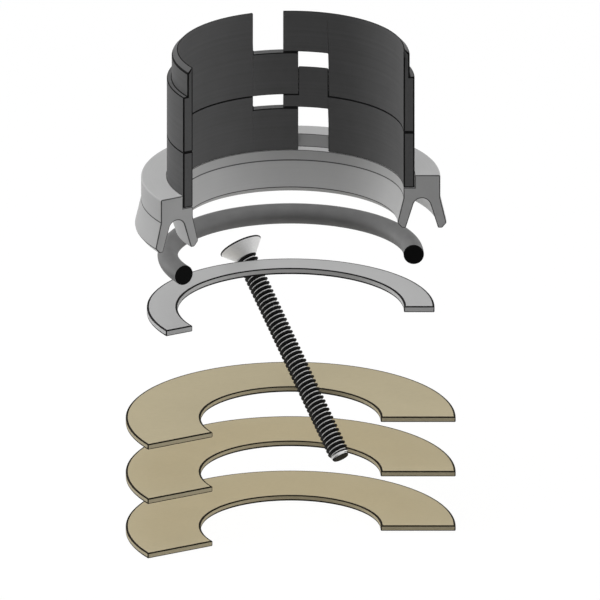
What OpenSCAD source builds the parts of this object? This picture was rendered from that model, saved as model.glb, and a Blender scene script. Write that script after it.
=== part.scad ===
// Rod seal set in section: two split bearings seated on a lip seal, its energiser ring,
// a support washer, three shims and a long countersunk screw, spread along one axis.
// The bottom shim lies on z = 0, the axis is Z, and the missing sector faces -Y.

/* [Section] */
// Angle of the front sector that is cut out of every ring, 0 leaves them whole
cut_angle = 150; // [0:5:180]

/* [Rod] */
// Diameter of the rod that runs through the bearings
rod_d = 50.8; // [46:0.2:60]

/* [Bearings] */
// Wall thickness of both bearing rings
bearing_wall = 2.5; // [2:0.1:3.5]
// Height of the upper bearing, neck included
bearing_h = 20; // [17:0.5:26]
// Height of the neck on the upper bearing and of the key on the lower one
neck_h = 6.75; // [4:0.25:8]
// Step from the outside of the ring in to the neck
neck_step = 1.1; // [0.5:0.1:1.4]
// Fall of the bevelled rim from the bore to the outside of the neck
rim_fall = 1.3; // [0.4:0.1:2]
// Width of each notch in the step-cut joint
notch_w = 6.8; // [4:0.2:9]
// Length over which the two tongues of the joint lap
tongue_lap = 3.4; // [2:0.2:6]
// Width of the slit between the lapped tongues
tongue_slit = 0.25; // [0.2:0.05:0.5]
// Clearance on each side of the key in the notch above it
key_clear = 0.02; // [0.02:0.02:0.3]

/* [Lip seal] */
// Radial width of the seal's heel
seal_w = 8.3; // [8:0.1:11]
// Height of the seal from the lips' edges to the heel's top
seal_h = 12.6; // [12:0.1:15]
// Height of the straight heel above the flare of the lips
heel_h = 5.4; // [4:0.1:6]
// Distance by which each lip flares past the heel
lip_flare = 1.4; // [0.6:0.1:2]
// Height of the bevel at the edge of each lip
lip_bevel_h = 1.2; // [0.6:0.1:2]
// Width of the bevel at the edge of each lip
lip_bevel_w = 1; // [0.4:0.1:1.4]
// Radius of the round root of the groove between the lips
groove_r = 2; // [1.4:0.1:2.2]
// Depth of the groove from the lips' edges to its root
groove_depth = 7.05; // [6:0.05:7.6]
// Lean of each groove flank from the axis
groove_lean = 17; // [8:1:20]
// Distance from the bore to the middle of the groove
groove_offset = 4.15; // [3.9:0.05:4.4]
// Depth of the seat that holds the lower bearing in the heel
seat_depth = 3; // [1.5:0.1:3.4]
// Radial clearance of the lower bearing in its seat
seat_clear = 0.05; // [0.02:0.01:0.2]

/* [Energiser ring] */
// Thickness of the round cord that the ring is made of
energiser_d = 4.6; // [3:0.1:5.2]
// Bore of the ring as it lies free, less the diameter of the rod
energiser_slack = 0; // [-1:0.1:2]

/* [Support washer] */
// Radial width of the washer
washer_w = 6.9; // [4:0.1:9]
// Thickness of the washer
washer_t = 1.4; // [0.8:0.1:2.5]
// Radial clearance of the washer round the rod
washer_clear = 0.1; // [0.05:0.05:0.5]

/* [Shims] */
// Inside diameter of the shims
shim_bore = 40.5; // [38:0.5:48]
// Radial width of the shims
shim_w = 16.9; // [12:0.1:22]
// Thickness of each shim
shim_t = 1.25; // [0.5:0.05:2.5]

/* [Screw] */
// Outside diameter of the thread
screw_d = 4.83; // [4:0.01:5.5]
// Length of the screw over its countersunk head
screw_l = 55; // [50:0.5:58]
// Diameter of the head
head_d = 9.9; // [9:0.1:11]
// Angle of the cone under the head
head_cone = 82; // [75:1:100]
// Height of the thin straight rim of the head
head_rim = 0.2; // [0.1:0.05:0.4]
// Diameter of the flat at the screw's point
point_d = 3.6; // [2.6:0.1:3.8]
// Length of the bevel at the screw's point
point_l = 1.6; // [0.6:0.1:3]
// Width across the flats of the hexagon socket
socket_w = 3.2; // [2:0.1:3.6]
// Depth of the hexagon socket
socket_depth = 1.9; // [1:0.1:2.4]

/* [Spacing] */
// Gap between one shim and the next
shim_gap = 11.75; // [2:0.25:16]
// Gap between the top shim and the washer
washer_gap = 25; // [20:0.5:32]
// Gap between the washer and the energiser ring
energiser_gap = 10.1; // [8:0.1:16]
// Gap between the energiser ring and the lips of the seal
seal_gap = 4.1; // [1:0.1:10]

/* [Screw place] */
// Direction from the axis in which the screw leans out past the washer
washer_lean_angle = 106; // [95:0.5:125]
// Direction from the axis in which the screw leans on the top shim's bore
shim_lean_angle = 72.5; // [60:0.5:90]
// Clearance of the thread from the edges that it leans past
lean_clear = 0.2; // [0.1:0.05:1]
// Length of the screw below the top shim
screw_below = 15.8; // [12:0.2:20]

/* [Hidden] */

bearing_colour = [0.25, 0.25, 0.25];
seal_colour = [0.62, 0.62, 0.62];
energiser_colour = [0.12, 0.12, 0.12];
washer_colour = [0.68, 0.68, 0.68];
screw_colour = [0.3, 0.3, 0.32];
shim_colour = [0.7, 0.66, 0.54];

round_faces = 180;
thread_faces = 48;
// Overrun of a cutting tool past the face that it cuts
over = 1;

kept_angle = 360 - cut_angle;
bore_r = rod_d / 2;

// Radii of the bearings
bearing_r = bore_r + bearing_wall;
neck_r = bearing_r - neck_step;
ring_body_h = bearing_h - neck_h;
step_z = bearing_h / 2;

// Section of the lip seal
heel_r = bore_r + seal_w;
seat_r = bearing_r + seat_clear;
flare_z = seal_h - heel_h;
groove_mid = bore_r + groove_offset;
groove_z = groove_depth - groove_r;
flank_r = groove_r * cos(groove_lean);
flank_z = groove_z + groove_r * sin(groove_lean);
mouth_r = flank_r + flank_z * tan(groove_lean);

// Radii of the flat rings and the energiser
energiser_r = bore_r + energiser_slack / 2 + energiser_d / 2;
washer_in = bore_r + washer_clear;
washer_out = washer_in + washer_w;
shim_in = shim_bore / 2;
shim_out = shim_in + shim_w;

// Levels up the axis
middle_shim_z = shim_t + shim_gap;
top_shim_z = 2 * middle_shim_z;
washer_z = top_shim_z + shim_t + washer_gap;
energiser_z = washer_z + washer_t + energiser_gap + energiser_d / 2;
seal_z = energiser_z + energiser_d / 2 + seal_gap;
lower_bearing_z = seal_z + seal_h - seat_depth;
upper_bearing_z = lower_bearing_z + ring_body_h;

// Line of the screw, through a place in the top shim's bore and one outside the washer
lean_rise = washer_z + washer_t / 2 - top_shim_z - shim_t / 2;
lean_run = norm(
    spoke(washer_out + screw_d, washer_lean_angle) - spoke(shim_in - screw_d, shim_lean_angle)
);
lean_slope = atan(lean_run / lean_rise);
lean_edge = max(shim_t, washer_t) / 2 * tan(lean_slope);
lean_room = screw_d / 2 / cos(lean_slope) + lean_edge + lean_clear;
shim_lean = spoke(shim_in - lean_room, shim_lean_angle);
washer_lean = spoke(washer_out + lean_room, washer_lean_angle);
lean_line = washer_lean - shim_lean;
screw_tilt = atan(norm(lean_line) / lean_rise);
screw_heading = atan2(lean_line[1], lean_line[0]);
cone_h = (head_d - screw_d) / 2 / tan(head_cone / 2);

// Flat place at a radius and a direction from the axis
function spoke(r, direction) = [r * cos(direction), r * sin(direction)];

// Turns a section in the X-Y plane round the axis, over the angle that is kept
module sectioned_ring() {
    rotate_extrude(angle = kept_angle, $fn = round_faces) children();
}

module flat_ring(r_in, r_out, h) {
    sectioned_ring() translate([r_in, 0]) square([r_out - r_in, h]);
}

// Neck with its bevelled rim, standing on z = 0
module neck_section() {
    polygon([
        [bore_r, 0],
        [neck_r, 0],
        [neck_r, neck_h - rim_fall],
        [bore_r, neck_h]
    ]);
}

// Notches and slit of the step-cut joint at the back of a ring of height h
module step_cut(h) {
    depth = bearing_wall + 2 * over + bore_r - bore_edge();
    translate([-tongue_lap / 2 - notch_w, bore_edge() - over, step_z])
        cube([notch_w, depth, h - step_z + over]);
    translate([tongue_lap / 2, bore_edge() - over, -over])
        cube([notch_w, depth, step_z + tongue_slit + over]);
    translate([-tongue_lap / 2 - over, bore_edge() - over, step_z])
        cube([tongue_lap + 2 * over, depth, tongue_slit]);
}

// Depth at which the bore meets the outer side of a notch
function bore_edge() = sqrt(pow(bore_r, 2) - pow(tongue_lap / 2 + notch_w, 2));

module upper_bearing() {
    color(bearing_colour)
        translate([0, 0, upper_bearing_z])
        difference() {
            sectioned_ring() {
                translate([bore_r, 0]) square([bearing_wall, ring_body_h]);
                translate([0, ring_body_h]) neck_section();
            }
            step_cut(bearing_h);
        }
}

module lower_bearing() {
    key_w = notch_w - 2 * key_clear;
    color(bearing_colour)
        translate([0, 0, lower_bearing_z]) {
            difference() {
                flat_ring(bore_r, bearing_r, ring_body_h);
                step_cut(ring_body_h);
            }
            intersection() {
                translate([0, 0, ring_body_h])
                    rotate_extrude($fn = round_faces) neck_section();
                translate([tongue_lap / 2 + key_clear, 0, ring_body_h])
                    cube([key_w, bearing_r + over, neck_h + over]);
            }
        }
}

module lip_seal() {
    color(seal_colour)
        translate([0, 0, seal_z])
        sectioned_ring()
        difference() {
            polygon([
                [bore_r - lip_flare + lip_bevel_w, 0],
                [heel_r + lip_flare - lip_bevel_w, 0],
                [heel_r + lip_flare, lip_bevel_h],
                [heel_r, flare_z],
                [heel_r, seal_h],
                [seat_r, seal_h],
                [seat_r, seal_h - seat_depth],
                [bore_r, seal_h - seat_depth],
                [bore_r, flare_z],
                [bore_r - lip_flare, lip_bevel_h]
            ]);
            translate([groove_mid, groove_z]) circle(groove_r, $fn = thread_faces);
            translate([groove_mid, 0]) polygon([
                [-mouth_r - over * tan(groove_lean), -over],
                [mouth_r + over * tan(groove_lean), -over],
                [flank_r, flank_z],
                [0, groove_z],
                [-flank_r, flank_z]
            ]);
        }
}

module energiser_ring() {
    color(energiser_colour)
        translate([0, 0, energiser_z])
        sectioned_ring() translate([energiser_r, 0]) circle(d = energiser_d, $fn = thread_faces);
}

module support_washer() {
    color(washer_colour) translate([0, 0, washer_z]) flat_ring(washer_in, washer_out, washer_t);
}

module shim(level) {
    color(shim_colour) translate([0, 0, level]) flat_ring(shim_in, shim_out, shim_t);
}

module top_shim() {
    shim(top_shim_z);
}

module middle_shim() {
    shim(middle_shim_z);
}

module bottom_shim() {
    shim(0);
}

// Screw standing on its point, with the head up
module screw_blank() {
    difference() {
        rotate_extrude($fn = thread_faces)
            polygon([
                [0, 0],
                [point_d / 2, 0],
                [screw_d / 2, point_l],
                [screw_d / 2, screw_l - head_rim - cone_h],
                [head_d / 2, screw_l - head_rim],
                [head_d / 2, screw_l],
                [0, screw_l]
            ]);
        translate([0, 0, screw_l - socket_depth])
            cylinder(d = socket_w / cos(30), h = socket_depth + over, $fn = 6);
    }
}

module countersunk_screw() {
    color(screw_colour)
        translate([shim_lean[0], shim_lean[1], top_shim_z + shim_t / 2])
        rotate([0, screw_tilt, screw_heading])
        translate([0, 0, -screw_below])
        screw_blank();
}

upper_bearing();
lower_bearing();
lip_seal();
energiser_ring();
support_washer();
countersunk_screw();
top_shim();
middle_shim();
bottom_shim();
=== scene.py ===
import math

import bpy
from bpy.props import FloatProperty, FloatVectorProperty, IntProperty, PointerProperty
from bpy.types import Operator, Panel, PropertyGroup
from mathutils import Matrix, Vector


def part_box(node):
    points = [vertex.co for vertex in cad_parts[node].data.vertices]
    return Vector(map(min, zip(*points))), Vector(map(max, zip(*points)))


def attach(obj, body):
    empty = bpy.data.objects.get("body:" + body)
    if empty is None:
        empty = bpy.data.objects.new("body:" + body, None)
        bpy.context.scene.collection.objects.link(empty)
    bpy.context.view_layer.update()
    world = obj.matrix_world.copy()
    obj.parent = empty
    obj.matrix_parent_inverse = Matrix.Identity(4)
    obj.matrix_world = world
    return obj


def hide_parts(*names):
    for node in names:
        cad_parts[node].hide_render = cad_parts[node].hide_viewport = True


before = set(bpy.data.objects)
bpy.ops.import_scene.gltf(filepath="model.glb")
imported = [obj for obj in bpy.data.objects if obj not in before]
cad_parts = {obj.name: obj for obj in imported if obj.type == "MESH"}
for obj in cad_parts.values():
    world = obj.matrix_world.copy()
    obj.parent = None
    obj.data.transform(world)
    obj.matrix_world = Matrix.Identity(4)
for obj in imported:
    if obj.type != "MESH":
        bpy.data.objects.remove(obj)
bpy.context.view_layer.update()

bl_info = {
    "name": "Sectioned rod seal set",
    "version": (1, 0, 0),
    "blender": (4, 5, 0),
    "location": "View3D > Sidebar > Rod Seal",
    "description": "Rod seal set cut open and spread along its axis, with its studio",
    "category": "Add Mesh",
}

# Axis and centre that the rings are turned round
AXIS = (0, 0, 1)
CENTRE = (0, 0, 0)
# Depth of a cut that only clears a face away
HAIR = 1e-6
# Distance below which two points of a mesh are one, more than a hair
WELD = 3e-6
# Distance within which a face counts as lying in a plane
NEAR = 2e-5
# Least cosine between the normals of a face and of the plane that it lies in
ALONG = 0.999
# Overrun of a cutting block past what it cuts
OVER = 0.001
# Half the width, and the height, of a cutting block that spans a whole bearing
SPAN, TALL = 0.04, 0.03
WHITE = (1.0, 1.0, 1.0, 1.0)
# Places of the finishes on a ring: its own, that of its edges and that of its cut faces
OWN, EDGE, CUT = range(3)


def floor_of(node):
    """Height of a node's underside."""
    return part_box(node)[0][2]


def length(name, about, default):
    return FloatProperty(
        name=name, description=about, default=default, min=0.0, unit="LENGTH", precision=6
    )


def colour(name, about, default):
    return FloatVectorProperty(
        name=name, description=about, default=default, size=3, min=0.0, max=1.0, subtype="COLOR"
    )


def level(name, about, default):
    return FloatProperty(name=name, description=about, default=default, min=0.0)


class RodSealBearings(PropertyGroup):
    rod_radius: length("Rod radius", "Bore of the bearings and of the heel", 0.0254)
    wall: length("Wall", "Wall of both bearing rings", 0.0025)
    ring_height: length("Ring height", "Height of a bearing below its neck", 0.01325)
    neck_height: length("Neck height", "Height of the neck and of the key", 0.00675)
    neck_step: length("Neck step", "Step from the ring in to the neck", 0.0011)
    rim_fall: length("Rim fall", "Fall of the bevelled rim", 0.0013)
    notch_width: length("Notch width", "Width of each notch of the step cut", 0.0068)
    tongue_lap: length("Tongue lap", "Length over which the tongues lap", 0.0034)
    tongue_slit: length("Tongue slit", "Slit between the lapped tongues", 0.00025)
    key_clearance: length("Key clearance", "Clearance on each side of the key", 0.000002)
    edge_width: length("Edge width", "Width of the broken edges", 0.0002)
    edge_border: length("Edge border", "Width of the dark border along cut edges", 0.00018)
    rim_border: length("Rim border", "Width of the dark strips along the rim", 0.00016)


class RodSealSection(PropertyGroup):
    heel_width: length("Heel width", "Radial width of the seal's heel", 0.0083)
    height: length("Height", "Height of the seal", 0.0126)
    heel_height: length("Heel height", "Height of the straight heel", 0.0054)
    heel_round: length("Heel round", "Radius of the heel's top outer edge", 0.0004)
    flare: length("Flare", "Distance that each lip flares past the heel", 0.0014)
    bevel_height: length("Bevel height", "Height of the bevel on each lip", 0.0012)
    bevel_width: length("Bevel width", "Width of the bevel on each lip", 0.001)
    groove_radius: length("Groove radius", "Radius of the groove's root", 0.002)
    groove_depth: length("Groove depth", "Depth of the groove", 0.00705)
    groove_offset: length("Groove offset", "From the bore to the groove's middle", 0.00415)
    groove_lean: FloatProperty(
        name="Groove lean", description="Lean of the groove's flanks from the axis",
        default=math.radians(17), subtype="ANGLE",
    )
    seat_depth: length("Seat depth", "Depth of the bearing's seat in the heel", 0.003)
    seat_clearance: length("Seat clearance", "Radial clearance in the seat", 0.00005)
    edge_width: length("Edge width", "Width of the broken edges", 0.00014)
    edge_border: length("Edge border", "Width of the dark border along cut edges", 0.00012)


class RodSealRings(PropertyGroup):
    kept_angle: FloatProperty(
        name="Kept angle", description="Part of each ring that the section leaves",
        default=math.radians(210), subtype="ANGLE",
    )
    steps: IntProperty(
        name="Steps", description="Facets round the kept part of a ring", default=168, min=24
    )
    cord_steps: IntProperty(
        name="Cord steps", description="Facets round the energiser's cord", default=64, min=12
    )
    edge_width: length("Edge width", "Width of the broken edges", 0.00016)
    edge_border: length("Edge border", "Width of the dark border along level edges", 0.00032)
    foot_strip: length("Foot strip", "Height of the dark strips along the foot", 0.00025)
    cut_border: length("Cut border", "Width of the dark border along cut edges", 0.0001)
    cord: length("Energiser cord", "Thickness of the energiser's cord", 0.0046)
    washer_bore: length("Washer bore", "Inside radius of the washer", 0.0255)
    washer_width: length("Washer width", "Radial width of the washer", 0.0069)
    shim_bore: length("Shim bore", "Inside radius of the shims", 0.02025)
    shim_width: length("Shim width", "Radial width of the shims", 0.0169)


class RodSealScrew(PropertyGroup):
    foot: FloatVectorProperty(
        name="Point", description="Place of the screw's point", unit="LENGTH",
        default=(0.0113016, 0.0065266, 0.015158), size=3,
    )
    aim: FloatVectorProperty(
        name="Direction", description="Direction from the point to the head",
        default=(-0.411139, 0.551574, 0.725762), size=3, subtype="DIRECTION",
    )
    full_length: length("Length", "Length over the head", 0.055)
    thread_diameter: length("Thread", "Outside diameter of the thread", 0.00483)
    pitch: length("Pitch", "Pitch of the thread", 0.001058)
    thread_depth: length("Thread depth", "Depth of the thread", 0.00055)
    steps: IntProperty(
        name="Steps", description="Facets round the thread", default=48, min=12
    )
    head_diameter: length("Head", "Diameter of the head", 0.0099)
    head_cone: FloatProperty(
        name="Head cone", description="Angle of the cone under the head",
        default=math.radians(82), subtype="ANGLE",
    )
    head_rim: length("Head rim", "Height of the head's straight rim", 0.0002)
    rim_line: length("Rim line", "Height of the dark line under the rim", 0.00015)
    point_diameter: length("Point", "Diameter of the flat at the point", 0.0036)
    point_length: length("Point bevel", "Length of the bevel at the point", 0.0016)
    # Band of the point's bevel painted bright: a painted highlight
    point_highlight: FloatVectorProperty(
        name="Painted highlight", description="Heights between which the point's bevel is bright",
        default=(0.00035, 0.0008), size=2, unit="LENGTH", precision=6,
    )
    socket_width: length("Socket", "Width across the flats of the socket", 0.0032)
    socket_depth: length("Socket depth", "Depth of the socket", 0.0019)


class RodSealFinishes(PropertyGroup):
    bearing: colour("Bearings", "Filled plastic of the bearings", (0.098, 0.098, 0.099))
    seal: colour("Lip seal", "Urethane of the lip seal", (0.41, 0.41, 0.41))
    energiser: colour("Energiser", "Skin of the energiser", (0.14, 0.14, 0.14))
    energiser_cut: colour("Energiser cut", "Cut faces of the energiser", (0.003, 0.003, 0.003))
    washer: colour("Washer", "Ground steel of the washer", (0.39, 0.39, 0.39))
    screw_head: colour("Screw head", "Bright steel of the head", (0.85, 0.85, 0.85))
    thread: colour("Thread", "Blackened thread", (0.004, 0.004, 0.004))
    # Also the colour of the screw head's top, painted there as shade against the strong light
    # on that face
    thread_root: colour("Thread root", "Bright root of the thread", (0.6, 0.6, 0.6))
    shim: colour("Shims", "Fibre sheet of the shims", (0.436, 0.38, 0.255))
    edge_level: FloatProperty(
        name="Edge level", description="Part of a colour that its dark edges keep",
        default=0.03, min=0.0, max=1.0, subtype="FACTOR",
    )
    crease_level: FloatProperty(
        name="Crease level", description="Part of the seal's colour that its creases keep",
        default=0.22, min=0.0, max=1.0, subtype="FACTOR",
    )


class RodSealStudio(PropertyGroup):
    elevation: FloatProperty(
        name="Elevation", description="Height of the camera above the horizon",
        default=math.radians(19.62), subtype="ANGLE",
    )
    view_width: length("View width", "Width of the picture at the object", 0.1351)
    view_centre: FloatVectorProperty(
        name="View centre", description="Point at the middle of the picture",
        default=(0.002094, 0.0, 0.05522), size=3, unit="LENGTH",
    )
    sky: level("Sky", "Level of the even light from all round", 0.2)
    above: level("Above", "Level of the even light from above", 0.7)
    left: level("Left", "Level of the even light from the left", 0.66)
    right: level("Right", "Level of the even light from the right", 0.41)
    below: level("Below", "Level of the even light from below", 0.18)
    front: level("Front", "Level of the even light from the front", 0.08)
    soft_lamp: level("Soft lamp", "Level of the soft lamp that casts the shadows", 0.12)
    soft_size: length("Soft lamp's size", "Width of the soft lamp", 0.5)
    soft_spot: FloatVectorProperty(
        name="Soft lamp's place", description="Place of the soft lamp",
        default=(-0.12, -0.1, 0.6), size=3, unit="LENGTH",
    )
    paper: level("Paper", "Part of the light that the floor sends back up", 0.45)
    paper_glow: FloatProperty(
        name="Paper glow", description="Part of the floor's white that no shadow darkens",
        default=0.86, min=0.0, max=1.0, subtype="FACTOR",
    )


# Modelling steps that several pieces share


def deselect():
    if bpy.context.object and bpy.context.object.mode != "OBJECT":
        bpy.ops.object.mode_set(mode="OBJECT")
    bpy.ops.object.select_all(action="DESELECT")


def select(piece):
    deselect()
    piece.select_set(True)
    bpy.context.view_layer.objects.active = piece


def edit(select_mode="VERT", action="SELECT"):
    """Opens edit mode with the whole mesh selected or, with DESELECT, none of it."""
    bpy.ops.object.mode_set(mode="EDIT")
    bpy.ops.mesh.select_mode(type=select_mode)
    bpy.ops.mesh.select_all(action=action)


def leave_edit():
    bpy.ops.object.mode_set(mode="OBJECT")


def place_transforms():
    bpy.ops.object.transform_apply(location=True, rotation=True, scale=True)


def trace_line(name, outline):
    """Extrudes a point along an outline of radii and heights."""
    deselect()
    r, z = outline[0]
    bpy.ops.mesh.primitive_plane_add(size=0.001, location=(r, 0, z))
    line = bpy.context.object
    line.name = line.data.name = name
    place_transforms()
    edit()
    bpy.ops.mesh.merge(type="CENTER")
    for (r, z), (next_r, next_z) in zip(outline, outline[1:]):
        move = {"value": (next_r - r, 0, next_z - z)}
        bpy.ops.mesh.extrude_region_move(TRANSFORM_OT_translate=move)
    leave_edit()
    return line


def trace_section(name, outline):
    """Traces an outline, closes it and fills it."""
    section = trace_line(name, outline)
    edit(action="DESELECT")
    leave_edit()
    for end in (0, len(outline) - 1):
        section.data.vertices[end].select = True
    bpy.ops.object.mode_set(mode="EDIT")
    bpy.ops.mesh.edge_face_add()
    bpy.ops.mesh.select_all(action="SELECT")
    bpy.ops.mesh.edge_face_add()
    leave_edit()
    return section


def turn_ring(section, rings):
    """Spins a section round the axis over the angle that is kept."""
    edit()
    bpy.ops.mesh.spin(steps=rings.steps, angle=-rings.kept_angle, center=CENTRE, axis=AXIS)
    bpy.ops.mesh.select_all(action="SELECT")
    bpy.ops.mesh.remove_doubles(threshold=1e-7)
    bpy.ops.mesh.normals_make_consistent(inside=False)
    leave_edit()
    return section


def block(low, high):
    """Box between two corners, to cut with."""
    deselect()
    low, high = Vector(low), Vector(high)
    bpy.ops.mesh.primitive_cube_add(size=1, location=(low + high) / 2, scale=high - low)
    place_transforms()
    return bpy.context.object


def weld():
    """Joins points that a boolean left a hair apart and drops faces without area."""
    edit()
    bpy.ops.mesh.remove_doubles(threshold=WELD)
    bpy.ops.mesh.dissolve_degenerate(threshold=WELD)
    leave_edit()


def combine(piece, tool, operation="DIFFERENCE"):
    """Applies a boolean with a tool, which is then removed."""
    select(piece)
    bpy.ops.object.modifier_add(type="BOOLEAN")
    cut = piece.modifiers[-1]
    cut.operation = operation
    cut.solver = "EXACT"
    cut.object = tool
    bpy.ops.object.modifier_apply(modifier=cut.name)
    bpy.data.objects.remove(tool, do_unlink=True)
    weld()


def break_edges(piece, width, finish_index, limit=35):
    """Chamfers edges sharper than a limit in degrees, with a finish of their own."""
    select(piece)
    bpy.ops.object.modifier_add(type="BEVEL")
    edges = piece.modifiers[-1]
    edges.width = width
    edges.segments = 1
    edges.limit_method = "ANGLE"
    edges.angle_limit = math.radians(limit)
    edges.use_clamp_overlap = False
    edges.material = finish_index
    bpy.ops.object.modifier_apply(modifier=edges.name)


def border(piece, width, finish_index, wanted):
    """Insets the wanted faces and gives the border round them a finish of its own."""
    select(piece)
    edit("FACE", action="DESELECT")
    leave_edit()
    for face in piece.data.polygons:
        face.select = wanted(face)
    bpy.ops.object.mode_set(mode="EDIT")
    bpy.ops.mesh.inset(thickness=width, use_boundary=True, use_even_offset=False)
    leave_edit()
    mark_faces(piece, finish_index, lambda face: wanted(face) and not face.select)


def mark_faces(piece, finish_index, wanted):
    for face in piece.data.polygons:
        if wanted(face):
            face.material_index = finish_index


def level_face(face):
    return abs(face.normal.z) > ALONG


def upright_face(face):
    return abs(face.normal.z) < 0.1


def cut_face(kept_angle):
    """Test for the faces in the two planes of the section."""
    normals = [Vector((-math.sin(a), math.cos(a), 0)) for a in (0.0, kept_angle)]

    def test(face):
        return any(
            abs(face.normal.dot(normal)) > ALONG and abs(face.center.dot(normal)) < NEAR
            for normal in normals
        )

    return test


def arc(r_middle, z_middle, radius, first, last, steps):
    """Points of an arc in a section, from one angle to another."""
    angles = [first + (last - first) * i / steps for i in range(steps + 1)]
    return [(r_middle + radius * math.cos(a), z_middle + radius * math.sin(a)) for a in angles]


def keep(piece, node, smooth=10):
    """Shades a finished piece and hands it to the frame in place of its node."""
    select(piece)
    bpy.ops.object.shade_smooth_by_angle(angle=math.radians(smooth))
    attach(piece, "root")
    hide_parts(node)


# Finishes


def shades(base, *levels):
    """One colour at several levels, with its alpha."""
    return [tuple(c * level for c in base) + (1.0,) for level in levels]


class Finish:
    """A material whose nodes are added and wired one by one."""

    def __init__(self, name, roughness, metallic=0.0, specular=0.5):
        self.material = bpy.data.materials.new(name)
        self.material.use_nodes = True
        self.tree = self.material.node_tree
        self.shader = self.tree.nodes["Principled BSDF"]
        self.shader.inputs["Roughness"].default_value = roughness
        self.shader.inputs["Metallic"].default_value = metallic
        self.shader.inputs["Specular IOR Level"].default_value = specular
        self.place = self.node("ShaderNodeTexCoord").outputs["Object"]

    def node(self, kind, **settings):
        made = self.tree.nodes.new(kind)
        for key, value in settings.items():
            setattr(made, key, value)
        return made

    def wire(self, source, target):
        self.tree.links.new(source, target)

    def noise(self, scale, detail=3.0, where=None):
        made = self.node("ShaderNodeTexNoise")
        made.inputs["Scale"].default_value = scale
        made.inputs["Detail"].default_value = detail
        self.wire(where or self.place, made.inputs["Vector"])
        return made.outputs["Fac"]

    def turned(self, radial, along):
        """Coordinates that stay the same round the axis, as marks of a lathe do."""
        parts = self.node("ShaderNodeSeparateXYZ")
        self.wire(self.place, parts.inputs[0])
        flat = self.node("ShaderNodeCombineXYZ")
        self.wire(parts.outputs["X"], flat.inputs["X"])
        self.wire(parts.outputs["Y"], flat.inputs["Y"])
        far = self.node("ShaderNodeVectorMath", operation="LENGTH")
        self.wire(flat.outputs[0], far.inputs[0])
        joined = self.node("ShaderNodeCombineXYZ")
        for source, amount, axis in (
            (far.outputs["Value"], radial, "X"), (parts.outputs["Z"], along, "Y")
        ):
            scaled = self.node("ShaderNodeMath", operation="MULTIPLY")
            scaled.inputs[1].default_value = amount
            self.wire(source, scaled.inputs[0])
            self.wire(scaled.outputs[0], joined.inputs[axis])
        return joined.outputs[0]

    def ramp(self, source, low, high, colours):
        made = self.node("ShaderNodeValToRGB")
        made.color_ramp.elements[0].position = low
        made.color_ramp.elements[1].position = high
        for stop, shade in zip(made.color_ramp.elements, colours):
            stop.color = shade
        self.wire(source, made.inputs["Fac"])
        return made.outputs["Color"]

    def streaks(self, source, base, low, high):
        """A colour between two of its levels, with soft streaks."""
        return self.ramp(source, 0.25, 0.75, shades(base, low, high))

    def clouds(self, source, base, low, high):
        """A colour between two of its levels, in clearer patches than streaks."""
        return self.ramp(source, 0.3, 0.7, shades(base, low, high))

    def darken(self, colour, source, low):
        """Multiplies a colour by clouds from a low level up to full."""
        made = self.node("ShaderNodeMix", data_type="RGBA", blend_type="MULTIPLY")
        made.inputs["Factor"].default_value = 1.0
        self.wire(colour, made.inputs["A"])
        self.wire(self.clouds(source, WHITE[:3], low, 1.0), made.inputs["B"])
        return made.outputs["Result"]

    def gloss(self, source, low, high):
        made = self.node("ShaderNodeMapRange")
        made.inputs["To Min"].default_value = low
        made.inputs["To Max"].default_value = high
        self.wire(source, made.inputs["Value"])
        self.wire(made.outputs["Result"], self.shader.inputs["Roughness"])

    def relief(self, source, strength, distance):
        made = self.node("ShaderNodeBump")
        made.inputs["Strength"].default_value = strength
        made.inputs["Distance"].default_value = distance
        self.wire(source, made.inputs["Height"])
        self.wire(made.outputs["Normal"], self.shader.inputs["Normal"])

    def paint(self, source):
        self.wire(source, self.shader.inputs["Base Color"])
        return self.material


def bearing_plastic(name, base):
    """Filled plastic: faint flow marks round the ring and a fine grain."""
    finish = Finish(name, roughness=0.6, specular=0.03)
    marks = finish.noise(1.0, 2.0, finish.turned(radial=2600, along=1400))
    grain = finish.noise(5200, 2.0)
    finish.gloss(grain, 0.5, 0.7)
    finish.relief(grain, strength=0.2, distance=0.00002)
    flow = finish.streaks(marks, base, 0.94, 1.06)
    return finish.paint(finish.darken(flow, finish.noise(190, 4.0), 0.94))


def urethane(name, base, turned=True):
    """Satin urethane, with faint marks of turning on the walls."""
    finish = Finish(name, roughness=0.5, specular=0.03)
    around = finish.turned(radial=3600, along=3600) if turned else None
    marks = finish.noise(1.0, 3.0, around)
    grain = finish.noise(3800, 2.0)
    finish.gloss(grain, 0.42, 0.58)
    finish.relief(grain, strength=0.12, distance=0.00002)
    flow = finish.streaks(marks, base, 0.98, 1.02)
    return finish.paint(finish.darken(flow, finish.noise(140, 4.0), 0.96))


def nitrile(name, base, roughness, specular):
    """Rubber with a soft bloom and a fine grain."""
    finish = Finish(name, roughness, specular=specular)
    grain = finish.noise(5200, 2.0)
    finish.gloss(grain, roughness - 0.06, roughness + 0.1)
    finish.relief(grain, strength=0.2, distance=0.00003)
    return finish.paint(finish.clouds(finish.noise(260, 5.0), base, 0.92, 1.06))


def ground_steel(name, base):
    """Steel with fine rings left by grinding."""
    finish = Finish(name, roughness=0.45, metallic=0.12, specular=0.2)
    rings = finish.noise(1.0, 4.0, finish.turned(radial=5200, along=5200))
    finish.gloss(rings, 0.38, 0.54)
    finish.relief(rings, strength=0.1, distance=0.00001)
    marks = finish.streaks(rings, base, 0.96, 1.04)
    return finish.paint(finish.darken(marks, finish.noise(120, 3.0), 0.97))


def bright_steel(name, base):
    """Plain steel with a fine grain."""
    finish = Finish(name, roughness=0.4, metallic=0.05, specular=0.1)
    grain = finish.noise(2600, 3.0)
    finish.gloss(grain, 0.3, 0.46)
    return finish.paint(finish.clouds(grain, base, 0.96, 1.04))


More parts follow.
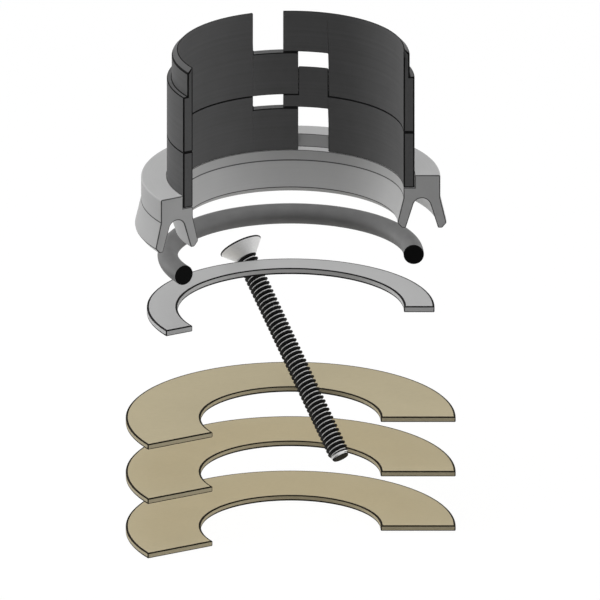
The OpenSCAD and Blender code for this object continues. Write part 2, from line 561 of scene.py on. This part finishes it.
def black_oxide(name, base):
    """Blackened steel, blotched where the black is thin."""
    finish = Finish(name, roughness=0.5, specular=0.06)
    grain = finish.noise(2400, 3.0)
    finish.gloss(grain, 0.42, 0.6)
    return finish.paint(finish.clouds(grain, base, 0.7, 1.3))


def dark_edge(name, base, level):
    """Broken edge, rubbed dark, of a finish; on the bearings it is also the painted shade in
    the slit between the tongues.
    """
    finish = Finish(name, roughness=0.8, specular=0.05)
    rub = finish.noise(420, 4.0)
    finish.gloss(rub, 0.7, 0.9)
    return finish.paint(finish.clouds(rub, base, level * 0.85, level * 1.15))


def fibre_sheet(name, base):
    """Pressed fibre: short fibres, soft clouds and a slight tooth."""
    finish = Finish(name, roughness=0.75, specular=0.1)
    stretched = finish.node("ShaderNodeMapping")
    stretched.inputs["Scale"].default_value = (900, 3400, 900)
    finish.wire(finish.place, stretched.inputs["Vector"])
    fibres = finish.noise(1.0, 4.0, stretched.outputs[0])
    finish.gloss(fibres, 0.68, 0.82)
    finish.relief(fibres, strength=0.15, distance=0.00003)
    threads = finish.streaks(fibres, base, 0.96, 1.03)
    return finish.paint(finish.darken(threads, finish.noise(110, 4.0), 0.97))


def dress(piece, *finishes):
    for finish in finishes:
        piece.data.materials.append(finish)


# Operators, one for each piece or group of like pieces


class ROD_SEAL_OT_bearings(Operator):
    """Add the two split bearings with their step-cut joints"""

    bl_idname = "rod_seal.bearings"
    bl_label = "Add Bearings"

    def execute(self, context):
        sizes, rings = context.scene.rod_seal_bearings, context.scene.rod_seal_rings
        finish = context.scene.rod_seal_finishes
        plastic = bearing_plastic("bearing_plastic", finish.bearing)
        edge = dark_edge("bearing_edge_and_slit_shade", finish.bearing, finish.edge_level)
        for node in ("upper_bearing", "lower_bearing"):
            foot = floor_of(node)
            ring = turn_ring(trace_section(node + "_ring", self.outline(sizes, foot)), rings)
            self.cut_steps(ring, sizes, foot)
            if node == "lower_bearing":
                self.cut_to_key(ring, sizes, foot)
            dress(ring, plastic, edge)
            break_edges(ring, sizes.edge_width, EDGE)
            border(ring, sizes.edge_border, EDGE, cut_face(rings.kept_angle))
            # The slit's faces take the dark edge finish: painted shade in the slit between the
            # tongues
            mark_faces(ring, EDGE, self.slit_shade_face(sizes, foot))
            mark_faces(ring, EDGE, self.rim_strip(sizes))
            keep(ring, node)
        return {"FINISHED"}

    def outline(self, sizes, foot):
        """Section of a ring, with a point at the end of each dark strip of its rim."""
        outside = sizes.rod_radius + sizes.wall
        neck = outside - sizes.neck_step
        shoulder = foot + sizes.ring_height
        slope = self.rim_slope(sizes)
        strip = slope.normalized() * (sizes.edge_width + sizes.rim_border)
        low = self.top(sizes, foot) - sizes.rim_fall - slope.y
        rim = Vector((sizes.rod_radius, low))
        return [
            (sizes.rod_radius, foot), (outside, foot), (outside, shoulder), (neck, shoulder),
            tuple(rim + slope), tuple(rim + slope - strip), tuple(rim + strip), tuple(rim),
        ]

    def top(self, sizes, foot):
        return foot + sizes.ring_height + sizes.neck_height

    def rim_slope(self, sizes):
        """Slope of the rim, a little steeper at first for what its broken edge takes off."""
        width = sizes.wall - sizes.neck_step
        taken = sizes.edge_width * sizes.rim_fall / math.hypot(width, sizes.rim_fall)
        return Vector((width, -sizes.rim_fall - taken))

    def cut_steps(self, ring, sizes, foot):
        """Cuts the two notches and the slit between the tongues."""
        top = self.top(sizes, foot)
        middle = (foot + top) / 2
        slit = middle + sizes.tongue_slit
        lap = sizes.tongue_lap / 2
        far = lap + sizes.notch_width
        front, back = sizes.rod_radius - sizes.wall, sizes.rod_radius + 2 * sizes.wall
        combine(ring, block((-far, front, middle), (-lap, back, top + OVER)))
        combine(ring, block((lap, front, foot - OVER), (far, back, slit)))
        combine(ring, block((-lap - OVER, front, middle), (lap + OVER, back, slit)))

    def cut_to_key(self, ring, sizes, foot):
        """Takes the neck and a hair of the shoulder off on both sides of the key."""
        shoulder, top = foot + sizes.ring_height - HAIR, foot + TALL
        side = sizes.tongue_lap / 2 + sizes.key_clearance
        far = sizes.tongue_lap / 2 + sizes.notch_width - sizes.key_clearance
        combine(ring, block((-SPAN, -SPAN, shoulder), (side, SPAN, top)))
        combine(ring, block((far, -SPAN, shoulder), (SPAN, SPAN, top)))

    def slit_shade_face(self, sizes, foot):
        """Test for the faces that meet in the slit between the tongues, which take the dark
        edge finish as painted shade.
        """
        middle = (foot + self.top(sizes, foot)) / 2

        def test(face):
            in_slit = abs(face.center.z - middle) < sizes.tongue_slit + NEAR
            at_back = face.center.y > 0 and abs(face.center.x) < sizes.tongue_lap / 2
            return in_slit and at_back and level_face(face)

        return test

    def rim_strip(self, sizes):
        """Test for the narrow strips along both edges of the bevelled rim."""
        slope = self.rim_slope(sizes)
        level_part = slope.x / slope.length
        strip = (sizes.edge_width + sizes.rim_border) * level_part

        def test(face):
            far = math.hypot(face.center.x, face.center.y) - sizes.rod_radius
            on_rim = abs(face.normal.z - level_part) < 0.01
            return on_rim and (far < strip or far > slope.x - strip)

        return test


class ROD_SEAL_OT_lip_seal(Operator):
    """Add the lip seal that carries the lower bearing"""

    bl_idname = "rod_seal.lip_seal"
    bl_label = "Add Lip Seal"

    def execute(self, context):
        rings, sizes = context.scene.rod_seal_rings, context.scene.rod_seal_section
        finish = context.scene.rod_seal_finishes
        outline = self.outline(sizes, context.scene.rod_seal_bearings)
        seal = turn_ring(trace_section("lip_seal_ring", outline), rings)
        dress(
            seal,
            urethane("seal_urethane", finish.seal),
            dark_edge("seal_edge", finish.seal, finish.crease_level),
            urethane("seal_cut", finish.seal, turned=False),
        )
        break_edges(seal, sizes.edge_width, EDGE, limit=11)
        mark_faces(seal, CUT, cut_face(rings.kept_angle))
        border(seal, sizes.edge_border, EDGE, cut_face(rings.kept_angle))
        keep(seal, "lip_seal")
        return {"FINISHED"}

    def outline(self, seal, bearings):
        """Section from the inner lip's edge round the groove, the heel and its seat."""
        foot, bore = floor_of("lip_seal"), bearings.rod_radius
        top = foot + seal.height
        flare, lip = top - seal.heel_height, foot + seal.bevel_height
        heel = bore + seal.heel_width
        seat_wall = bore + bearings.wall + seal.seat_clearance
        seat_floor = top - seal.seat_depth
        middle = bore + seal.groove_offset
        mouth = self.mouth(seal)
        return [
            (bore - seal.flare + seal.bevel_width, foot),
            (middle - mouth, foot), *self.groove(seal, middle, foot), (middle + mouth, foot),
            (heel + seal.flare - seal.bevel_width, foot), (heel + seal.flare, lip),
            (heel, flare), *self.heel_edge(seal, heel, top),
            (seat_wall, top), (seat_wall, seat_floor), (bore, seat_floor),
            (bore, flare), (bore - seal.flare, lip),
        ]

    def mouth(self, seal):
        """Half the width of the groove at the lips' edges, which its flanks lean out to."""
        lean, root = seal.groove_lean, seal.groove_depth - seal.groove_radius
        start = root + seal.groove_radius * math.sin(lean)
        return seal.groove_radius * math.cos(lean) + start * math.tan(lean)

    def groove(self, seal, middle, foot):
        """Round root of the groove, which runs into both flanks without a corner."""
        lean, radius = seal.groove_lean, seal.groove_radius
        height = foot + seal.groove_depth - radius
        return arc(middle, height, radius, math.pi - lean, lean, steps=26)

    def heel_edge(self, seal, heel, top):
        radius = seal.heel_round
        return arc(heel - radius, top - radius, radius, 0, math.pi / 2, steps=10)


class ROD_SEAL_OT_energiser(Operator):
    """Add the round energiser ring"""

    bl_idname = "rod_seal.energiser"
    bl_label = "Add Energiser Ring"

    def execute(self, context):
        rings = context.scene.rod_seal_rings
        finish = context.scene.rod_seal_finishes
        low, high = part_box("energiser_ring")
        deselect()
        bpy.ops.mesh.primitive_circle_add(
            vertices=rings.cord_steps, radius=rings.cord / 2, fill_type="NGON",
            location=(high[0] - rings.cord / 2, 0, (low[2] + high[2]) / 2),
            rotation=(math.pi / 2, 0, 0),
        )
        section = context.object
        section.name = section.data.name = "energiser_cord"
        place_transforms()
        cord = turn_ring(section, rings)
        dress(
            cord,
            nitrile("energiser_skin", finish.energiser, roughness=0.6, specular=0.12),
            nitrile("energiser_cut", finish.energiser_cut, roughness=0.8, specular=0.05),
        )
        break_edges(cord, rings.edge_width, EDGE)
        mark_faces(cord, EDGE, cut_face(rings.kept_angle))
        keep(cord, "energiser_ring")
        return {"FINISHED"}


class ROD_SEAL_OT_flat_rings(Operator):
    """Add the support washer and the shims"""

    bl_idname = "rod_seal.flat_rings"
    bl_label = "Add Washer and Shims"

    def execute(self, context):
        rings = context.scene.rod_seal_rings
        finish = context.scene.rod_seal_finishes
        steel = (
            ground_steel("washer_steel", finish.washer),
            dark_edge("washer_edge", finish.washer, finish.edge_level),
        )
        sheet = (
            fibre_sheet("shim_sheet", finish.shim),
            dark_edge("shim_edge", finish.shim, finish.edge_level),
        )
        washer = (rings.washer_bore, rings.washer_width)
        shim = (rings.shim_bore, rings.shim_width)
        self.add("support_washer", "washer", *washer, steel, rings)
        for node in ("top_shim", "middle_shim", "bottom_shim"):
            self.add(node, "shim", *shim, sheet, rings)
        return {"FINISHED"}

    def add(self, node, slot_name, bore, width, finishes, rings):
        low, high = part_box(node)
        outside = bore + width
        strip = low[2] + rings.edge_width + rings.foot_strip
        outline = [
            (bore, low[2]), (outside, low[2]), (outside, strip),
            (outside, high[2]), (bore, high[2]), (bore, strip),
        ]
        ring = turn_ring(trace_section(node + "_ring", outline), rings)
        dress(ring, *finishes)
        break_edges(ring, rings.edge_width, EDGE)
        mark_faces(ring, EDGE, lambda face: upright_face(face) and face.center.z < strip)
        border(ring, rings.edge_border, EDGE, level_face)
        border(ring, rings.cut_border, EDGE, cut_face(rings.kept_angle))
        keep(ring, node)


class ROD_SEAL_OT_screw(Operator):
    """Add the long countersunk screw with its thread"""

    bl_idname = "rod_seal.screw"
    bl_label = "Add Screw"

    # Places of the screw's finishes
    BLACK, BRIGHT, ROOT = range(3)
    # Height above the head's foot from which a face belongs to the head
    ROOM = 0.0002
    # Width of the broken edge on the head's top
    BROKEN = 0.00006

    def execute(self, context):
        sizes = context.scene.rod_seal_screw
        finish = context.scene.rod_seal_finishes
        cone = (sizes.head_diameter - sizes.thread_diameter) / 2 / math.tan(sizes.head_cone / 2)
        neck = sizes.full_length - sizes.head_rim - cone
        screw = self.thread(sizes, neck)
        combine(screw, self.blank(sizes, neck), "INTERSECT")
        combine(screw, self.head(sizes, neck), "UNION")
        combine(screw, self.socket(sizes))
        dress(
            screw,
            black_oxide("thread_black", finish.thread),
            bright_steel("screw_head_steel", finish.screw_head),
            bright_steel("thread_root_and_shaded_top_steel", finish.thread_root),
        )
        for face in screw.data.polygons:
            face.material_index = self.finish_of(face, sizes, neck)
        turn = Vector(sizes.aim).to_track_quat("Z", "Y").to_matrix().to_4x4()
        screw.matrix_world = Matrix.Translation(sizes.foot) @ turn
        select(screw)
        place_transforms()
        keep(screw, "countersunk_screw", smooth=24)
        return {"FINISHED"}

    def thread(self, sizes, neck):
        """Winds one pitch of the thread's outline up the shank and closes its ends."""
        pitch, crest = sizes.pitch, sizes.thread_diameter / 2
        root = crest - sizes.thread_depth
        # Radii and parts of a pitch, from two turns below the point
        outline = [(root, 0.0), (root, 0.17), (crest, 0.46), (crest, 0.71), (root, 1.0)]
        start = 2
        thread = trace_line(
            "countersunk_screw_threaded", [(r, (part - start) * pitch) for r, part in outline]
        )
        bpy.ops.object.modifier_add(type="SCREW")
        wind = thread.modifiers[-1]
        wind.axis = "Z"
        wind.angle = math.tau
        wind.screw_offset = pitch
        wind.iterations = math.ceil(neck / pitch) + start + 1
        wind.steps = wind.render_steps = sizes.steps
        wind.use_merge_vertices = True
        wind.merge_threshold = 1e-7
        bpy.ops.object.modifier_apply(modifier=wind.name)
        edit()
        bpy.ops.mesh.remove_doubles(threshold=1e-7)
        bpy.ops.mesh.select_all(action="DESELECT")
        bpy.ops.mesh.select_non_manifold()
        bpy.ops.mesh.fill()
        bpy.ops.mesh.select_all(action="SELECT")
        bpy.ops.mesh.normals_make_consistent(inside=False)
        leave_edit()
        return thread

    def raised(self, first_radius, first_height, steps):
        """Raises a disc in steps of radius and height, as a turned shape."""
        deselect()
        bpy.ops.mesh.primitive_circle_add(
            vertices=72, radius=first_radius, fill_type="NGON", location=(0, 0, first_height)
        )
        shape = bpy.context.object
        place_transforms()
        edit()
        radius, height = first_radius, first_height
        for next_radius, next_height in steps:
            move = {"value": (0, 0, next_height - height)}
            bpy.ops.mesh.extrude_region_move(TRANSFORM_OT_translate=move)
            grow = next_radius / radius
            if grow != 1:
                bpy.ops.transform.resize(
                    value=(grow, grow, 1), center_override=(0, 0, next_height)
                )
            radius, height = next_radius, next_height
        bpy.ops.mesh.select_all(action="SELECT")
        bpy.ops.mesh.normals_make_consistent(inside=False)
        leave_edit()
        return shape

    def bevel_radius(self, sizes, height):
        """Radius of the bevelled point at a height above the point's flat."""
        point, crest = sizes.point_diameter / 2, sizes.thread_diameter / 2
        return point + (crest - point) * height / sizes.point_length

    def blank(self, sizes, neck):
        """Bevelled shank to cut the thread's ends with, a little wider than its crests."""
        point = sizes.point_diameter / 2
        wide = sizes.thread_diameter / 2 + self.ROOM
        rise = self.bevel_radius(sizes, 1) - point
        # Edge loops that bound the painted highlight on the point's bevel
        bands = [(self.bevel_radius(sizes, height), height) for height in sizes.point_highlight]
        return self.raised(
            point, 0.0, [*bands, (wide, (wide - point) / rise), (wide, neck + OVER / 2)]
        )

    def head(self, sizes, neck):
        """Countersunk head, with the dark line under its rim and a broken upper edge."""
        rim, line, top = sizes.full_length - sizes.head_rim, sizes.rim_line, sizes.full_length
        wide, narrow = sizes.head_diameter / 2, sizes.thread_diameter / 2 - NEAR
        lean = (wide - narrow) / (rim - neck)
        return self.raised(narrow, neck, [
            (wide - line * lean, rim - line), (wide, rim),
            (wide, top - self.BROKEN), (wide - self.BROKEN, top),
        ])

    def socket(self, sizes):
        """Hexagon to cut the socket with, half of it above the head."""
        deselect()
        bpy.ops.mesh.primitive_cylinder_add(
            vertices=6, radius=sizes.socket_width / 2 / math.cos(math.pi / 6),
            depth=2 * sizes.socket_depth, location=(0, 0, sizes.full_length),
        )
        place_transforms()
        return bpy.context.object

    def finish_of(self, face, sizes, neck):
        """Finish of a face by its place on the head, the point or the thread."""
        height, facing = face.center.z, face.normal.z
        far = math.hypot(face.center.x, face.center.y)
        if height > neck + self.ROOM:
            return self.head_finish(face, sizes, height, far)
        # The point's bevel is black but for a band painted bright: a painted highlight
        if height < sizes.point_length and -0.9 < facing < -0.3:
            return self.BRIGHT if self.on_painted_highlight(sizes, height, far) else self.BLACK
        root = sizes.thread_diameter / 2 - sizes.thread_depth
        if far < root + NEAR and height > 0.0001:
            return self.ROOT
        return self.BLACK

    def head_finish(self, face, sizes, height, far):
        """Top in the darker root steel as painted shade against the strong light on it, socket
        painted black as its shade, black line at the rim and bright cone.
        """
        rim = sizes.full_length - sizes.head_rim
        # The head's top takes the darker root steel, painted shade against the strong light on
        # it; the socket's floor is painted black, painted shade in the recess
        if face.normal.z > 0.9:
            return self.ROOT if height > rim else self.BLACK
        # The socket's walls are painted black: painted shade in the recess
        if far < sizes.socket_width * 0.6:
            return self.BLACK if upright_face(face) else self.BRIGHT
        above_line = height > rim - sizes.rim_line * 0.8
        outside = far > sizes.head_diameter / 2 - sizes.rim_line
        return self.BLACK if above_line and outside else self.BRIGHT

    def on_painted_highlight(self, sizes, height, far):
        """Whether a face of the point lies in the band of its bevel that is painted bright as a
        highlight.
        """
        low, high = sizes.point_highlight
        return low < height < high and abs(far - self.bevel_radius(sizes, height)) < 2 * NEAR


class ROD_SEAL_OT_studio(Operator):
    """Add the pale floor, the soft lamps, the sky and the camera"""

    bl_idname = "rod_seal.studio"
    bl_label = "Add Studio"

    def execute(self, context):
        studio = context.scene.rod_seal_studio
        self.camera(context, studio)
        self.floor(studio)
        self.sky(context, studio)
        for name, side, strength in (
            ("above_light", (0, 0, 1), studio.above),
            ("below_light", (0, 0, -1), studio.below),
            ("left_light", (-0.88, 0.475, 0), studio.left),
            ("right_light", (0.996, 0.087, 0), studio.right),
            ("front_light", (0, -1, 0), studio.front),
        ):
            lamp = self.lamp(name, "SUN", Vector(side))
            lamp.energy = math.pi * strength
            lamp.angle = math.radians(20)
            lamp.use_shadow = False
        spot = Vector(studio.soft_spot)
        lamp = self.lamp("soft_lamp", "AREA", spot)
        lamp.shape, lamp.size = "DISK", studio.soft_size
        lamp.energy = math.pi ** 2 * spot.length_squared * studio.soft_lamp
        context.scene.view_settings.view_transform = "Standard"
        return {"FINISHED"}

    def lamp(self, name, kind, spot):
        """Adds a lamp at a spot that shines at the object."""
        deselect()
        bpy.ops.object.light_add(type=kind, location=spot)
        lamp = bpy.context.object
        lamp.name = lamp.data.name = name
        lamp.rotation_euler = (-spot).to_track_quat("-Z", "Y").to_euler()
        return lamp.data

    def camera(self, context, studio):
        """Camera without perspective, half a metre from the view's centre."""
        look = Vector((0, math.cos(studio.elevation), -math.sin(studio.elevation)))
        deselect()
        bpy.ops.object.camera_add(
            location=Vector(studio.view_centre) - look * 0.5,
            rotation=(math.pi / 2 - studio.elevation, 0, 0),
        )
        camera = context.object
        camera.name = camera.data.name = "studio_camera"
        camera.data.type = "ORTHO"
        camera.data.ortho_scale = studio.view_width
        camera.data.clip_start, camera.data.clip_end = 0.01, 10.0
        context.scene.camera = camera

    def floor(self, studio):
        """Pale paper just under the object, seen as white where no shadow falls on it."""
        deselect()
        bpy.ops.mesh.primitive_plane_add(size=4, location=(0, 0, -0.0003))
        floor = bpy.context.object
        floor.name = floor.data.name = "studio_floor"
        place_transforms()
        paper = bpy.data.materials.new("studio_paper")
        paper.use_nodes = True
        nodes, links = paper.node_tree.nodes, paper.node_tree.links
        plain = nodes["Principled BSDF"]
        plain.inputs["Base Color"].default_value = (studio.paper,) * 3 + (1.0,)
        plain.inputs["Roughness"].default_value = 0.9
        plain.inputs["Specular IOR Level"].default_value = 0.0
        shaded = nodes.new("ShaderNodeBsdfDiffuse")
        shaded.inputs["Color"].default_value = WHITE
        glow = nodes.new("ShaderNodeEmission")
        pale = nodes.new("ShaderNodeMixShader")
        pale.inputs["Fac"].default_value = studio.paper_glow
        links.new(shaded.outputs[0], pale.inputs[1])
        links.new(glow.outputs[0], pale.inputs[2])
        self.split_by_ray(nodes, links, plain, pale, nodes["Material Output"])
        floor.data.materials.append(paper)

    def sky(self, context, studio):
        """Even light that shows as white behind the object and in its reflections."""
        world = bpy.data.worlds.new("studio_sky")
        context.scene.world = world
        world.use_nodes = True
        nodes, links = world.node_tree.nodes, world.node_tree.links
        even = nodes["Background"]
        even.inputs["Color"].default_value = WHITE
        even.inputs["Strength"].default_value = studio.sky
        white = nodes.new("ShaderNodeBackground")
        white.inputs["Color"].default_value = WHITE
        self.split_by_ray(nodes, links, even, white, nodes["World Output"])

    def split_by_ray(self, nodes, links, lighting, seen, output):
        """Lights the object with one shader and shows another to rays that see it."""
        path = nodes.new("ShaderNodeLightPath")
        sees = path.outputs["Is Camera Ray"]
        for ray in ("Is Glossy Ray", "Is Transmission Ray"):
            either = nodes.new("ShaderNodeMath")
            either.operation = "MAXIMUM"
            links.new(sees, either.inputs[0])
            links.new(path.outputs[ray], either.inputs[1])
            sees = either.outputs[0]
        mix = nodes.new("ShaderNodeMixShader")
        links.new(sees, mix.inputs["Fac"])
        links.new(lighting.outputs[0], mix.inputs[1])
        links.new(seen.outputs[0], mix.inputs[2])
        links.new(mix.outputs[0], output.inputs["Surface"])


GROUPS = {
    "rod_seal_bearings": RodSealBearings,
    "rod_seal_section": RodSealSection,
    "rod_seal_rings": RodSealRings,
    "rod_seal_screw": RodSealScrew,
    "rod_seal_finishes": RodSealFinishes,
    "rod_seal_studio": RodSealStudio,
}
OPERATORS = (
    ROD_SEAL_OT_bearings,
    ROD_SEAL_OT_lip_seal,
    ROD_SEAL_OT_energiser,
    ROD_SEAL_OT_flat_rings,
    ROD_SEAL_OT_screw,
    ROD_SEAL_OT_studio,
)


class ROD_SEAL_PT_sidebar(Panel):
    """Sizes, finishes and pieces of the rod seal set"""

    bl_idname = "ROD_SEAL_PT_sidebar"
    bl_label = "Rod Seal"
    bl_space_type = "VIEW_3D"
    bl_region_type = "UI"
    bl_category = "Rod Seal"

    def draw(self, context):
        for name, group in GROUPS.items():
            box = self.layout.box()
            for key in group.__annotations__:
                box.prop(getattr(context.scene, name), key)
        for operator in OPERATORS:
            self.layout.operator(operator.bl_idname)


def register():
    for kind in (*GROUPS.values(), *OPERATORS, ROD_SEAL_PT_sidebar):
        bpy.utils.register_class(kind)
    for name, group in GROUPS.items():
        setattr(bpy.types.Scene, name, PointerProperty(type=group))


def unregister():
    for name in GROUPS:
        delattr(bpy.types.Scene, name)
    for kind in reversed((*GROUPS.values(), *OPERATORS, ROD_SEAL_PT_sidebar)):
        bpy.utils.unregister_class(kind)


def main():
    register()
    bpy.ops.rod_seal.bearings()
    bpy.ops.rod_seal.lip_seal()
    bpy.ops.rod_seal.energiser()
    bpy.ops.rod_seal.flat_rings()
    bpy.ops.rod_seal.screw()
    bpy.ops.rod_seal.studio()


if __name__ == "__main__":
    main()
